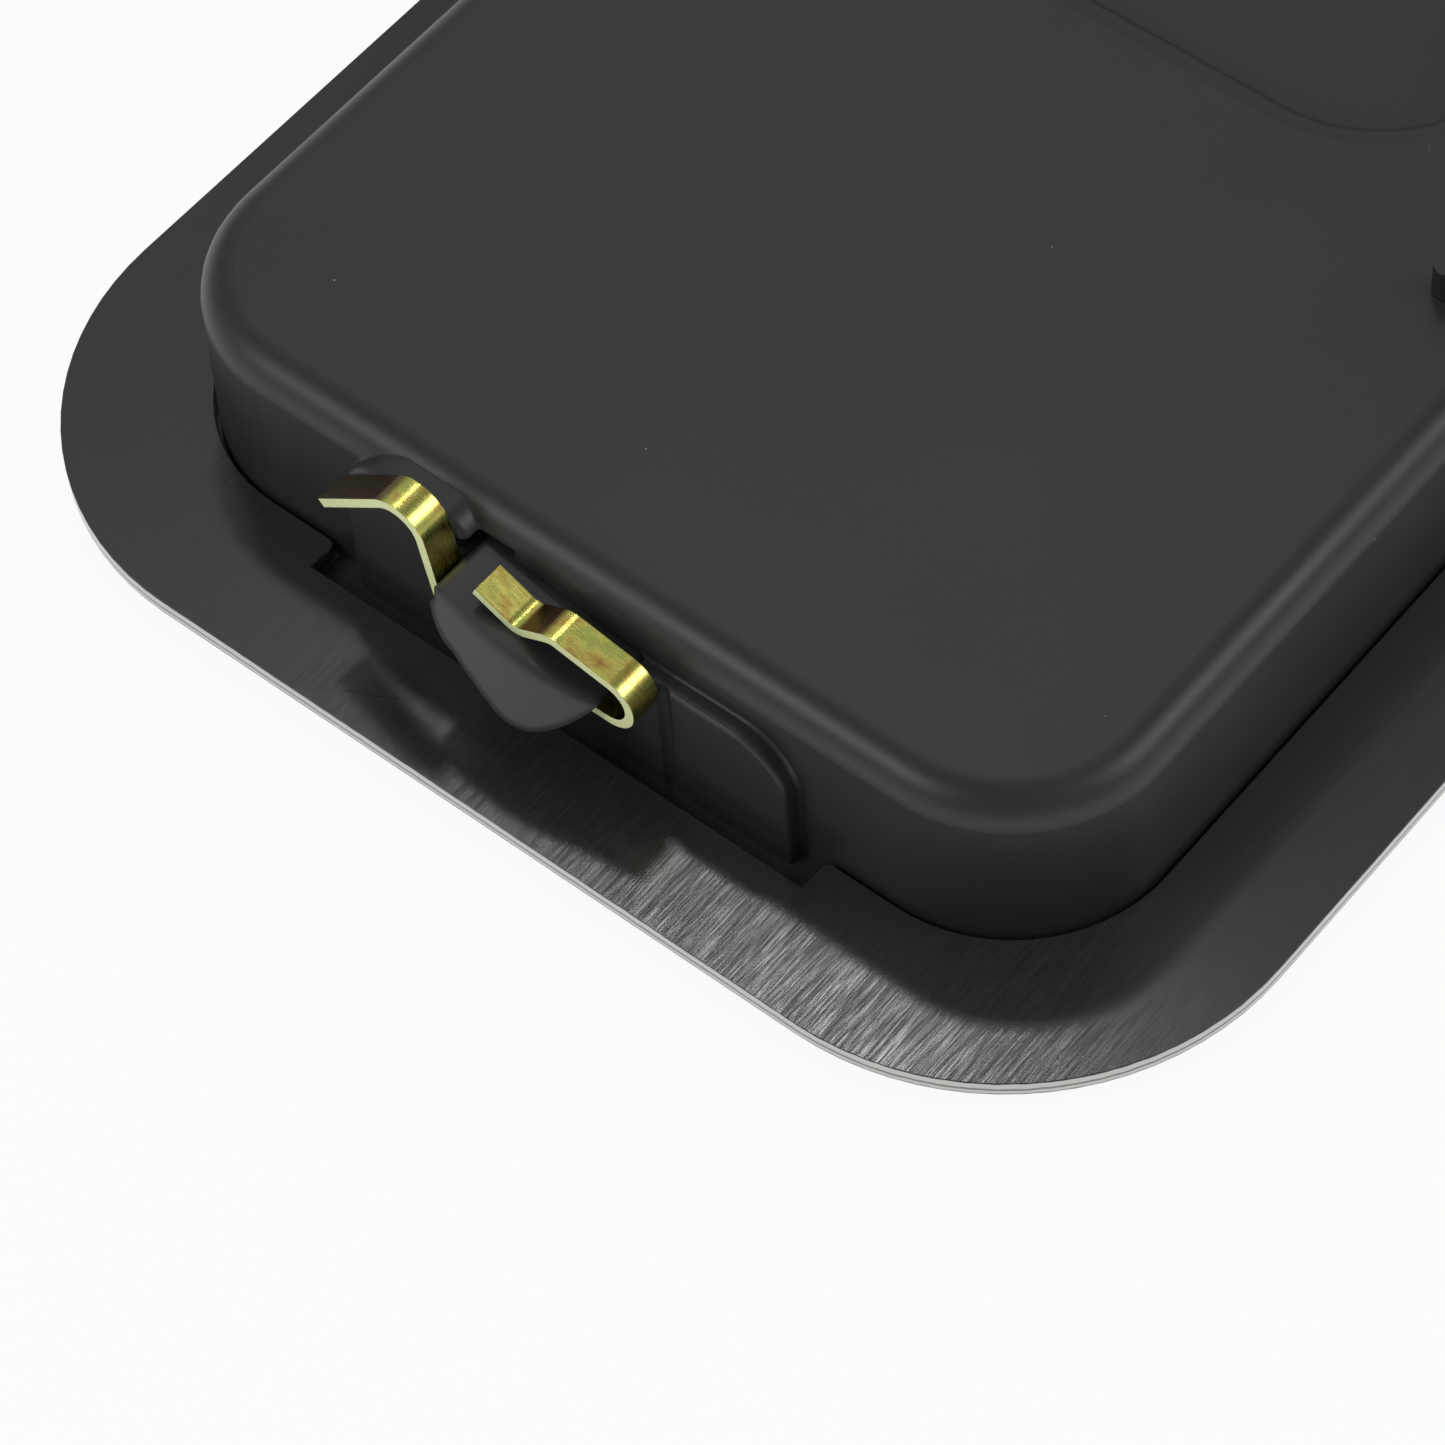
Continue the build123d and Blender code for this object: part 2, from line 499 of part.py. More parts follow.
with BuildPart() as turn_lever:
    with BuildSketch(Plane.XY.offset(LEVER_FRONT)):
        with Locations((0, SPINDLE_Y)):
            SlotOverall(LEVER_L, LEVER_W, rotation=90)
            Circle(LEVER_HUB_R)
    extrude(amount=LEVER_T)
    fillet(turn_lever.faces().sort_by(Axis.Z)[0].edges(), LEVER_EDGE_R)
    rounds([(0, SPINDLE_Y)], LEVER_NECK_R, LEVER_FRONT + LEVER_T - MERGE, LEVER_BACK)
    drilled([(0, SPINDLE_Y)], SPINDLE_R + PRESS_GAP, SPINDLE_FRONT, DISH_FLOOR_Z)
    with BuildSketch(Plane.YZ):
        with Locations((SPINDLE_Y, LEVER_PIN_Z)):
            Circle(LEVER_PIN_R + PRESS_GAP)
    extrude(amount=LEVER_HUB_R + 1, both=True, mode=Mode.SUBTRACT)

with BuildPart() as lever_pin:
    with BuildSketch(Plane.YZ):
        with Locations((SPINDLE_Y, LEVER_PIN_Z)):
            Circle(LEVER_PIN_R)
    extrude(amount=LEVER_HUB_R - LEVER_PIN_INSET, both=True)


def cross_recess(spots, z0):
    """Cuts a cross-shaped driver recess into each screw head of the part being built."""
    with BuildSketch(Plane.XY.offset(z0)) as cross:
        with Locations(*spots):
            Rectangle(RECESS_ARM, RECESS_SLIT)
            Rectangle(RECESS_SLIT, RECESS_ARM)
    extrude(cross.sketch, amount=RECESS_DEEP, mode=Mode.SUBTRACT)


def screw_set(spots, seat, reach, towards):
    """Adds cross-recessed screws: heads below or above the seat, shanks into the work."""
    head_z0 = seat - SCREW_HEAD_T if towards > 0 else seat
    shank_z0 = seat if towards > 0 else seat - reach
    rounds(spots, SCREW_R, shank_z0, shank_z0 + reach)
    rounds(spots, SCREW_HEAD_R, head_z0, head_z0 + SCREW_HEAD_T)
    recess_z0 = head_z0 if towards > 0 else head_z0 + SCREW_HEAD_T - RECESS_DEEP
    cross_recess(spots, recess_z0)


with BuildPart() as housing_screws:
    screw_set(CORNER_SCREWS, DISH_FLOOR_Z, DISH_WALL + POST_DEPTH - SCREW_HOLE_GAP, 1)

with BuildPart() as pad_screws:
    screw_set(PAD_SCREWS, RECESS_FLOOR, PAD_SCREW_REACH, -1)

with BuildPart() as guide_screws:
    rounds(GUIDE_SCREWS, SCREW_R, GUIDE_SCREW_HEAD_T, GUIDE_SCREW_END)
    rounds(GUIDE_SCREWS, SCREW_HEAD_R, 0.0, GUIDE_SCREW_HEAD_T)
    cross_recess(GUIDE_SCREWS, 0.0)

PARTS = {
    "face_plate": face_plate,
    "lip_tape": lip_tape,
    "rear_housing": rear_housing,
    "front_dish": front_dish,
    "latch_nose": latch_nose,
    "nose_clip": nose_clip,
    "bolt_bar": bolt_bar,
    "bar_rivets": bar_rivets,
    "nose_guide": nose_guide,
    "guide_screws": guide_screws,
    "turn_lever": turn_lever,
    "lever_spindle": lever_spindle,
    "lever_pin": lever_pin,
    "spindle_bush": spindle_bush,
    "wave_washer": wave_washer,
    "crank_plate": crank_plate,
    "crank_pin": crank_pin,
    "spindle_clip": spindle_clip,
    "housing_screws": housing_screws,
    "pad_screws": pad_screws,
}

os.makedirs("parts", exist_ok=True)
for node, builder in PARTS.items():
    builder.part.label = node
    export_step(builder.part, f"parts/{node}.step")
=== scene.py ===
"""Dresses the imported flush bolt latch: finishes for every part, a plain studio and the camera."""

import logging
import math
from dataclasses import dataclass, field
from typing import Any

import bmesh
import bpy
from mathutils import Matrix, Vector


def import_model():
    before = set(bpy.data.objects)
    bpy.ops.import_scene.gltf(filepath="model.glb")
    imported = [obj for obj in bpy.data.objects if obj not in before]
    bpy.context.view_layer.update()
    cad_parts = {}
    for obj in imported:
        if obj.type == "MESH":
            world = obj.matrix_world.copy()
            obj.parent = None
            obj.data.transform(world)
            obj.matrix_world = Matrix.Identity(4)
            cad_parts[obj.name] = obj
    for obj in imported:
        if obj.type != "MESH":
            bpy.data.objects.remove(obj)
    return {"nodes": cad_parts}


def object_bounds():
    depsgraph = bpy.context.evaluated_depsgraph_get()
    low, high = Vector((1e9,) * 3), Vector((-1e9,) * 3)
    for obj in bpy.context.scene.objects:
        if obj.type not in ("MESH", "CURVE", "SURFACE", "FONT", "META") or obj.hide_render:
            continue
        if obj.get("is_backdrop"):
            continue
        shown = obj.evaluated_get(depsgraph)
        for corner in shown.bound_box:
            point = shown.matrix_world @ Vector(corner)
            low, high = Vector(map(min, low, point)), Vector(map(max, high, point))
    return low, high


LOG = logging.getLogger("flush_bolt")
MM = 0.001


def to_linear(code: str) -> tuple[float, float, float, float]:
    """Turns an sRGB hex colour into a linear RGBA one.

    Args:
        code: Six hex digits with a leading hash.

    Returns:
        Linear red, green and blue, with an alpha of one.
    """
    channels = [int(code[i : i + 2], 16) / 255 for i in (1, 3, 5)]
    linear = [c / 12.92 if c <= 0.04045 else ((c + 0.055) / 1.055) ** 2.4 for c in channels]
    return (*linear, 1.0)


def add_node(
    tree: bpy.types.NodeTree,
    kind: str,
    settings: dict[str, Any] | None = None,
    links: dict[Any, bpy.types.NodeSocket] | None = None,
) -> bpy.types.Node:
    """Adds one shader node with its settings and its incoming links.

    Args:
        tree: Node tree that gets the node.
        kind: Node type name.
        settings: Values by attribute name or, where there is none, by input name or number.
        links: Output sockets by the input name or number that they feed.

    Returns:
        The new node.
    """
    node = tree.nodes.new(kind)
    for key, value in (settings or {}).items():
        if isinstance(key, str) and hasattr(node, key):
            setattr(node, key, value)
        else:
            node.inputs[key].default_value = value
    for key, socket in (links or {}).items():
        tree.links.new(socket, node.inputs[key])
    return node


def ramp(
    tree: bpy.types.NodeTree,
    factor: bpy.types.NodeSocket,
    stops: list[tuple[float, tuple[float, float, float, float]]],
) -> bpy.types.Node:
    """Adds a colour ramp with the given stops.

    Args:
        tree: Node tree that gets the ramp.
        factor: Socket that drives the ramp.
        stops: Positions from 0 to 1 with their linear colours, in order.

    Returns:
        The ramp node.
    """
    node = add_node(tree, "ShaderNodeValToRGB", links={"Fac": factor})
    elements = node.color_ramp.elements
    elements[0].position, elements[0].color = stops[0]
    elements[1].position, elements[1].color = stops[-1]
    for position, colour in stops[1:-1]:
        elements.new(position).color = colour
    return node


def grey(level: float) -> tuple[float, float, float, float]:
    """Returns a linear grey of the given level, with an alpha of one."""
    return (level, level, level, 1.0)


def blend_colour(
    tree: bpy.types.NodeTree,
    factor: bpy.types.NodeSocket,
    under: bpy.types.NodeSocket | tuple[float, float, float, float],
    over: bpy.types.NodeSocket | tuple[float, float, float, float],
) -> bpy.types.NodeSocket:
    """Mixes two colours, each a socket or a fixed colour.

    Args:
        tree: Node tree that gets the mix.
        factor: Socket that runs from 0, all under, to 1, all over.
        under: Colour at 0.
        over: Colour at 1.

    Returns:
        The mixed colour's socket.
    """
    fixed: dict[Any, Any] = {"data_type": "RGBA"}
    links: dict[Any, bpy.types.NodeSocket] = {0: factor}
    for slot, colour in ((6, under), (7, over)):
        if isinstance(colour, tuple):
            fixed[slot] = colour
        else:
            links[slot] = colour
    return add_node(tree, "ShaderNodeMix", fixed, links).outputs[2]


def spread(
    tree: bpy.types.NodeTree,
    value: bpy.types.NodeSocket,
    source: tuple[float, float],
    target: tuple[float, float],
) -> bpy.types.NodeSocket:
    """Maps one range of values onto another and holds it at both ends.

    Args:
        tree: Node tree that gets the node.
        value: Socket to map.
        source: Range that comes in.
        target: Range that goes out.

    Returns:
        The mapped value's socket.
    """
    settings = {"From Min": source[0], "From Max": source[1], "To Min": target[0], "To Max": target[1]}
    return add_node(tree, "ShaderNodeMapRange", settings, {"Value": value}).outputs["Result"]


def maths(
    tree: bpy.types.NodeTree,
    operation: str,
    first: bpy.types.NodeSocket,
    second: bpy.types.NodeSocket | float = 0.0,
) -> bpy.types.NodeSocket:
    """Adds one sum on one or two values.

    Args:
        tree: Node tree that gets the node.
        operation: Name of the sum, as Blender's Math node calls it.
        first: First value's socket.
        second: Second value, fixed or a socket.

    Returns:
        The result's socket.
    """
    if isinstance(second, float):
        return add_node(tree, "ShaderNodeMath", {"operation": operation, 1: second}, {0: first}).outputs[0]
    return add_node(tree, "ShaderNodeMath", {"operation": operation}, {0: first, 1: second}).outputs[0]


def noise(
    tree: bpy.types.NodeTree,
    place: bpy.types.NodeSocket,
    size_mm: float,
    detail: float = 2.0,
    rough: float = 0.5,
) -> bpy.types.NodeSocket:
    """Adds a cloudy noise whose blotches have a real size.

    Args:
        tree: Node tree that gets the noise.
        place: Coordinates in metres.
        size_mm: Size of a blotch in millimetres.
        detail: Number of finer layers.
        rough: Weight of the finer layers.

    Returns:
        The noise value's socket.
    """
    settings = {"Scale": 1 / (size_mm * MM), "Detail": detail, "Roughness": rough}
    return add_node(tree, "ShaderNodeTexNoise", settings, {"Vector": place}).outputs["Fac"]


def streaks(
    tree: bpy.types.NodeTree,
    place: bpy.types.NodeSocket,
    size_mm: tuple[float, float, float],
    detail: float = 3.0,
) -> bpy.types.NodeSocket:
    """Adds a noise drawn out along the axes, for brushing and drawing marks.

    Args:
        tree: Node tree that gets the noise.
        place: Coordinates in metres.
        size_mm: Size of a mark along X, Y and Z in millimetres.
        detail: Number of finer layers.

    Returns:
        The noise value's socket.
    """
    scale = tuple(1 / (size * MM) for size in size_mm)
    drawn = add_node(tree, "ShaderNodeMapping", {"Scale": scale}, {"Vector": place}).outputs["Vector"]
    settings = {"Scale": 1.0, "Detail": detail, "Roughness": 0.6}
    return add_node(tree, "ShaderNodeTexNoise", settings, {"Vector": drawn}).outputs["Fac"]


def specks(
    tree: bpy.types.NodeTree, place: bpy.types.NodeSocket, gap_mm: float, radius_mm: float, share: float
) -> bpy.types.NodeSocket:
    """Scatters small round specks, such as lint and dust.

    Args:
        tree: Node tree that gets the specks.
        place: Coordinates in metres.
        gap_mm: Distance between the places where a speck may lie.
        radius_mm: Radius of a speck.
        share: Share of those places that hold one.

    Returns:
        A socket that is 1 on a speck and 0 elsewhere.
    """
    cells = add_node(tree, "ShaderNodeTexVoronoi", {"Scale": 1 / (gap_mm * MM)}, {"Vector": place})
    draw = add_node(tree, "ShaderNodeSeparateColor", links={"Color": cells.outputs["Color"]}).outputs[0]
    held = maths(tree, "LESS_THAN", draw, share)
    near = maths(tree, "LESS_THAN", cells.outputs["Distance"], radius_mm / gap_mm)
    return maths(tree, "MULTIPLY", held, near)


def bumped(
    tree: bpy.types.NodeTree,
    height: bpy.types.NodeSocket,
    depth_mm: float,
    strength: float,
    base: bpy.types.NodeSocket | None = None,
) -> bpy.types.NodeSocket:
    """Turns a height pattern into a shading normal.

    Args:
        tree: Node tree that gets the bump.
        height: Pattern from 0 to 1.
        depth_mm: Height that 1 stands for, in millimetres.
        strength: Share of the bump that shows.
        base: Normal that the bump starts from.

    Returns:
        The normal's socket.
    """
    links = {"Height": height} if base is None else {"Height": height, "Normal": base}
    settings = {"Strength": strength, "Distance": depth_mm * MM}
    return add_node(tree, "ShaderNodeBump", settings, links).outputs["Normal"]


def eased_edges(tree: bpy.types.NodeTree, radius_mm: float) -> bpy.types.NodeSocket:
    """Returns a normal that rounds sharp corners by a small radius in millimetres."""
    settings = {"samples": 6, "Radius": radius_mm * MM}
    return add_node(tree, "ShaderNodeBevel", settings).outputs["Normal"]


@dataclass(frozen=True)
class Finish:
    """Shared start of every finish: a named material with an empty Principled shader."""

    name: str

    def begin(self) -> tuple[bpy.types.Material, bpy.types.NodeTree, bpy.types.Node, bpy.types.NodeSocket]:
        """Makes the material.

        Returns:
            The material, its node tree, its Principled node and the object's own coordinates.
        """
        material = bpy.data.materials.new(self.name)
        material.use_nodes = True
        tree = material.node_tree
        tree.nodes.clear()
        shader = add_node(tree, "ShaderNodeBsdfPrincipled")
        add_node(tree, "ShaderNodeOutputMaterial", links={"Surface": shader.outputs["BSDF"]})
        place = add_node(tree, "ShaderNodeTexCoord").outputs["Object"]
        return material, tree, shader, place


@dataclass(frozen=True)
class MouldedPlastic(Finish):
    """Glass-filled nylon moulded in a finely spark-eroded tool: black, with a soft even sheen.

    The grain scatters the light into a broad sheen, flow marks cloud it softly, and lint and dust
    sit on it as pale pin points.
    """

    colour: str = "#272728"
    cloud: str = "#2b2b2c"
    dust: str = "#8d8d8b"
    roughness: float = 0.42
    grain_mm: float = 0.3
    grain_depth_mm: float = 0.004
    cloud_mm: float = 14.0
    dust_gap_mm: float = 2.4
    dust_radius_mm: float = 0.09
    dust_share: float = 0.07
    edge_mm: float = 0.15

    def make(self) -> bpy.types.Material:
        """Builds the moulded plastic.

        Returns:
            The finished material.
        """
        material, tree, shader, place = self.begin()
        cloud = noise(tree, place, self.cloud_mm, 3.0, 0.45)
        tint = ramp(tree, cloud, [(0.35, to_linear(self.colour)), (0.68, to_linear(self.cloud))])
        lint = specks(tree, place, self.dust_gap_mm, self.dust_radius_mm, self.dust_share)
        colour = blend_colour(tree, lint, tint.outputs["Color"], to_linear(self.dust))
        rough = spread(tree, cloud, (0.3, 0.7), (self.roughness - 0.02, self.roughness + 0.03))
        grain = noise(tree, place, self.grain_mm, 2.0, 0.6)
        normal = bumped(tree, grain, self.grain_depth_mm, 0.3, eased_edges(tree, self.edge_mm))
        shader.inputs["IOR"].default_value = 1.5
        tree.links.new(colour, shader.inputs["Base Color"])
        tree.links.new(rough, shader.inputs["Roughness"])
        tree.links.new(normal, shader.inputs["Normal"])
        return material


@dataclass(frozen=True)
class LacqueredBrushedSteel(Finish):
    """Stainless sheet, belt-brushed along its length and lacquered black; its cut edges are bare.

    The thin lacquer follows the brushing, so a lamp's image is drawn out across the lines and
    breaks into fine bright streaks. The sheared edges shine silver in two bands, with a dark
    burr line along the rear face and a dull tear line at mid thickness.
    """

    lacquer: str = "#292a2b"
    line: str = "#363637"
    bare: str = "#bdbcb9"
    tear: str = "#77767a"
    burr: str = "#0c0c0c"
    dust: str = "#9a9a98"
    dust_gap_mm: float = 3.1
    dust_radius_mm: float = 0.09
    dust_share: float = 0.05
    roughness: float = 0.2
    anisotropy: float = 0.62
    line_mm: float = 0.14
    line_run_mm: float = 3.2
    line_depth_mm: float = 0.007
    line_gloss: float = 0.07
    line_sheen: tuple[float, float] = (0.68, 0.3)
    edge_slope: float = 0.6
    break_slope: float = 0.85
    rim_x_mm: float = 46.0
    rim_y_mm: float = 72.0
    rear_mm: float = 3.0
    thickness_mm: float = 1.5
    scratch_from_mm: tuple[float, float] = (-16.6, -79.4)
    scratch_to_mm: tuple[float, float] = (-10.4, -75.9)
    scratch_width_mm: float = 0.05

    def make(self) -> bpy.types.Material:
        """Builds the lacquered sheet with its bare edges.

        Returns:
            The finished material.
        """
        material, tree, shader, place = self.begin()
        brush = streaks(tree, place, (self.line_mm, self.line_run_mm, self.line_mm), 3.0)
        lines = ramp(tree, brush, [(0.45, to_linear(self.lacquer)), (0.75, to_linear(self.line))])
        lint = specks(tree, place, self.dust_gap_mm, self.dust_radius_mm, self.dust_share)
        coat = blend_colour(tree, lint, lines.outputs["Color"], to_linear(self.dust))
        coat = blend_colour(tree, self.scratch(tree, place), coat, to_linear(self.burr))
        edge = self.sheared(tree)
        colour = blend_colour(tree, edge, coat, self.bands(tree, place))
        worn = self.worn_break(tree, place)
        colour = blend_colour(tree, worn, colour, to_linear(self.bare))
        glossiest, dullest = self.roughness - self.line_gloss, self.roughness + self.line_gloss
        rough = spread(tree, brush, (0.32, 0.68), (glossiest, dullest))
        sheen = spread(tree, brush, (0.34, 0.66), self.line_sheen)
        normal = bumped(tree, brush, self.line_depth_mm, 0.8)
        across = add_node(tree, "ShaderNodeCombineXYZ", {"X": 1.0}).outputs["Vector"]
        shader.inputs["Anisotropic"].default_value = self.anisotropy
        tree.links.new(sheen, shader.inputs["Specular IOR Level"])
        tree.links.new(across, shader.inputs["Tangent"])
        tree.links.new(maths(tree, "MAXIMUM", edge, worn), shader.inputs["Metallic"])
        tree.links.new(colour, shader.inputs["Base Color"])
        tree.links.new(rough, shader.inputs["Roughness"])
        tree.links.new(normal, shader.inputs["Normal"])
        return material

    def sheared(self, tree: bpy.types.NodeTree) -> bpy.types.NodeSocket:
        """Finds the sheet's cut edges by their slope.

        Args:
            tree: Node tree that gets the nodes.

        Returns:
            A socket that is 1 on a cut edge and 0 on both faces.
        """
        face = add_node(tree, "ShaderNodeNewGeometry").outputs["Normal"]
        upright = add_node(tree, "ShaderNodeSeparateXYZ", links={"Vector": face}).outputs["Z"]
        return maths(tree, "LESS_THAN", maths(tree, "ABSOLUTE", upright), self.edge_slope)

    def worn_break(self, tree: bpy.types.NodeTree, place: bpy.types.NodeSocket) -> bpy.types.NodeSocket:
        """Finds where the cut-out's broken edge is rubbed bare.

        Args:
            tree: Node tree that gets the nodes.
            place: Coordinates in metres.

        Returns:
            A socket that is 1 on the bare stretches and 0 elsewhere.
        """
        face = add_node(tree, "ShaderNodeNewGeometry").outputs["Normal"]
        upright = add_node(tree, "ShaderNodeSeparateXYZ", links={"Vector": face}).outputs["Z"]
        sloped = maths(tree, "LESS_THAN", maths(tree, "ABSOLUTE", upright), self.break_slope)
        axes = add_node(tree, "ShaderNodeSeparateXYZ", links={"Vector": place}).outputs
        inside_x = maths(tree, "LESS_THAN", maths(tree, "ABSOLUTE", axes["X"]), self.rim_x_mm * MM)
        inside_y = maths(tree, "LESS_THAN", maths(tree, "ABSOLUTE", axes["Y"]), self.rim_y_mm * MM)
        rubbed = maths(tree, "GREATER_THAN", noise(tree, place, 2.2, 3.0), 0.47)
        there = maths(tree, "MULTIPLY", inside_x, inside_y)
        return maths(tree, "MULTIPLY", maths(tree, "MULTIPLY", sloped, rubbed), there)

    def bands(self, tree: bpy.types.NodeTree, place: bpy.types.NodeSocket) -> bpy.types.NodeSocket:
        """Colours a sheared edge by depth: burr line, bright shear, dull tear, bright shear.

        Args:
            tree: Node tree that gets the nodes.
            place: Coordinates in metres.

        Returns:
            The edge colour's socket.
        """
        height = add_node(tree, "ShaderNodeSeparateXYZ", links={"Vector": place}).outputs["Z"]
        rear, front = self.rear_mm * MM, (self.rear_mm - self.thickness_mm) * MM
        wander = spread(tree, noise(tree, place, 1.2, 3.0), (0.3, 0.7), (-0.03, 0.03))
        depth = maths(tree, "ADD", spread(tree, height, (rear, front), (0.0, 1.0)), wander)
        bright, dull = to_linear(self.bare), to_linear(self.tear)
        stops = [(0.0, to_linear(self.burr)), (0.1, to_linear(self.burr)), (0.15, bright), (0.5, bright),
                 (0.56, dull), (0.66, dull), (0.72, bright), (0.9, bright), (0.97, dull)]
        return ramp(tree, depth, stops).outputs["Color"]

    def scratch(self, tree: bpy.types.NodeTree, place: bpy.types.NodeSocket) -> bpy.types.NodeSocket:
        """Draws one fine dark scratch across the rim.

        Args:
            tree: Node tree that gets the nodes.
            place: Coordinates in metres.

        Returns:
            A socket that is 1 in the scratch and 0 elsewhere.
        """
        start = Vector((*self.scratch_from_mm, self.rear_mm)) * MM
        end = Vector((*self.scratch_to_mm, self.rear_mm)) * MM
        turn = math.atan2(end.y - start.y, end.x - start.x)
        settings = {"vector_type": "TEXTURE", "Location": start, "Rotation": (0.0, 0.0, turn)}
        local = add_node(tree, "ShaderNodeMapping", settings, {"Vector": place}).outputs["Vector"]
        axes = add_node(tree, "ShaderNodeSeparateXYZ", links={"Vector": local}).outputs
        waver = spread(tree, noise(tree, place, 2.5, 1.0), (0.3, 0.7), (-0.15 * MM, 0.15 * MM))
        off = maths(tree, "ABSOLUTE", maths(tree, "ADD", axes["Y"], waver))
        narrow = maths(tree, "LESS_THAN", off, self.scratch_width_mm * MM / 2)
        started = maths(tree, "GREATER_THAN", axes["X"], 0.0)
        ended = maths(tree, "LESS_THAN", axes["X"], (end - start).length)
        return maths(tree, "MULTIPLY", narrow, maths(tree, "MULTIPLY", started, ended))


@dataclass(frozen=True)
class YellowZinc(Finish):
    """Spring strip, zinc plated and yellow chromated: yellow-green with brown and purple bloom.

    The thin chromate film gives bands of changing colour over a bright drawn strip. The flats that lean
    to the strip's free end are painted brown as painted shade, in the film's own bloom colour; the slit
    edges are pale and matt, partly their own paler cut and partly a painted highlight.
    """

    green: str = "#c3cb6c"
    yellow: str = "#e0d873"
    straw: str = "#cdae5d"
    # Brown of the chromate's own bloom, also used as painted shade on the flats that face -X.
    bloom_and_shade: str = "#54382f"
    # Pale edge colour: partly the slit edges' own paler cut, partly painted highlight.
    slit_edge_and_highlight: str = "#eef4b8"
    roughness: float = 0.24
    film_mm: float = 1.7
    draw_mm: float = 0.09

    def make(self) -> bpy.types.Material:
        """Builds the chromated plating.

        Returns:
            The finished material.
        """
        material, tree, shader, place = self.begin()
        film = noise(tree, place, self.film_mm, 3.0, 0.55)
        stops = [(0.36, to_linear(self.green)), (0.5, to_linear(self.yellow)), (0.66, to_linear(self.straw)),
                 (0.82, to_linear(self.bloom_and_shade))]
        tint = ramp(tree, film, stops).outputs["Color"]
        # Painted shade: flats whose normals tilt toward -X are blended into the brown bloom colour, darkening
        # them as the dark surroundings they face would.
        face = add_node(tree, "ShaderNodeNewGeometry").outputs["Normal"]
        axes = add_node(tree, "ShaderNodeSeparateXYZ", links={"Vector": face}).outputs
        away_face_shade = spread(tree, axes["X"], (-0.25, -0.45), (0.0, 0.92))
        tint = blend_colour(tree, away_face_shade, tint, to_linear(self.bloom_and_shade))
        # Painted highlight: slit edges facing ±Y get a pale near-white colour and lose their metal, partly
        # the cut edges' own paler finish.
        slit_edge_and_highlight = spread(tree, maths(tree, "ABSOLUTE", axes["Y"]), (0.75, 0.9), (0.0, 1.0))
        colour = blend_colour(tree, slit_edge_and_highlight, tint, to_linear(self.slit_edge_and_highlight))
        drawn = streaks(tree, place, (2.5, self.draw_mm, 2.5))
        rough = spread(tree, drawn, (0.3, 0.7), (self.roughness - 0.04, self.roughness + 0.08))
        normal = bumped(tree, drawn, 0.008, 0.35, eased_edges(tree, 0.1))
        tree.links.new(colour, shader.inputs["Base Color"])
        tree.links.new(spread(tree, slit_edge_and_highlight, (0.0, 1.0), (1.0, 0.0)), shader.inputs["Metallic"])
        tree.links.new(rough, shader.inputs["Roughness"])
        tree.links.new(normal, shader.inputs["Normal"])
        return material


@dataclass(frozen=True)
class TurnedMetal(Finish):
    """Plain machined or rolled metal: steel with zinc plating, or free-cutting brass.

    Fine tool marks break up the shine, and handling leaves it a little uneven.
    """

    colour: str = "#b9bbbd"
    roughness: float = 0.3
    mark_mm: float = 0.2
    mark_depth_mm: float = 0.01

    def make(self) -> bpy.types.Material:
        """Builds the machined metal.

        Returns:
            The finished material.
        """
        material, tree, shader, place = self.begin()
        smear = noise(tree, place, 5.0)
        shade = ramp(tree, smear, [(0.3, to_linear(self.colour)), (0.8, grey(0.35))])
        rough = spread(tree, smear, (0.3, 0.7), (self.roughness - 0.08, self.roughness + 0.12))
        shader.inputs["Metallic"].default_value = 1.0
        colour = blend_colour(tree, smear, to_linear(self.colour), shade.outputs["Color"])
        tree.links.new(colour, shader.inputs["Base Color"])
        tree.links.new(rough, shader.inputs["Roughness"])
        normal = bumped(tree, noise(tree, place, self.mark_mm, 3.0), self.mark_depth_mm, 0.3)
        tree.links.new(normal, shader.inputs["Normal"])
        return material


@dataclass(frozen=True)
class FoamTape(Finish):
    """Acrylic foam tape, grey and slightly porous at its cut edge."""

    colour: str = "#4a4a4a"
    pore: str = "#3a3a3a"
    pore_mm: float = 0.25

    def make(self) -> bpy.types.Material:
        """Builds the foam tape.

        Returns:
            The finished material.
        """
        material, tree, shader, place = self.begin()
        pores = add_node(tree, "ShaderNodeTexVoronoi", {"Scale": 1 / (self.pore_mm * MM)}, {"Vector": place})
        stops = [(0.1, to_linear(self.pore)), (0.5, to_linear(self.colour))]
        colour = ramp(tree, pores.outputs["Distance"], stops)
        shader.inputs["Roughness"].default_value = 0.85
        tree.links.new(colour.outputs["Color"], shader.inputs["Base Color"])
        tree.links.new(bumped(tree, pores.outputs["Distance"], 0.03, 0.5), shader.inputs["Normal"])
        return material


@dataclass
class Dresser:
    """Gives CAD nodes their finishes."""

    nodes: dict[str, bpy.types.Object]
    made: dict[str, bpy.types.Material] = field(default_factory=dict)

    def dress(self, finish: Finish, *names: str) -> None:
        """Puts one finish on each named node.

        Args:
            finish: Finish that the nodes get; it is built once and shared.
            names: CAD node names.
        """
        if finish.name not in self.made:
            self.made[finish.name] = finish.make()
        for name in names:
            mesh = self.nodes[name].data
            mesh.materials.clear()
            mesh.materials.append(self.made[finish.name])
            LOG.info("dressed %s in %s", name, finish.name)


@dataclass
class FaceGroup:
    """Face plate, its tape and the moulded dish behind it."""

    dresser: Dresser

    def dress(self) -> None:
        """Puts the sheet, tape and moulded finishes on the face's nodes."""
        self.dresser.dress(LacqueredBrushedSteel("black_lacquered_brushed_stainless"), "face_plate")
        self.dresser.dress(FoamTape("acrylic_foam_tape"), "lip_tape")
        self.dresser.dress(MouldedPlastic("moulded_black_nylon"), "front_dish")


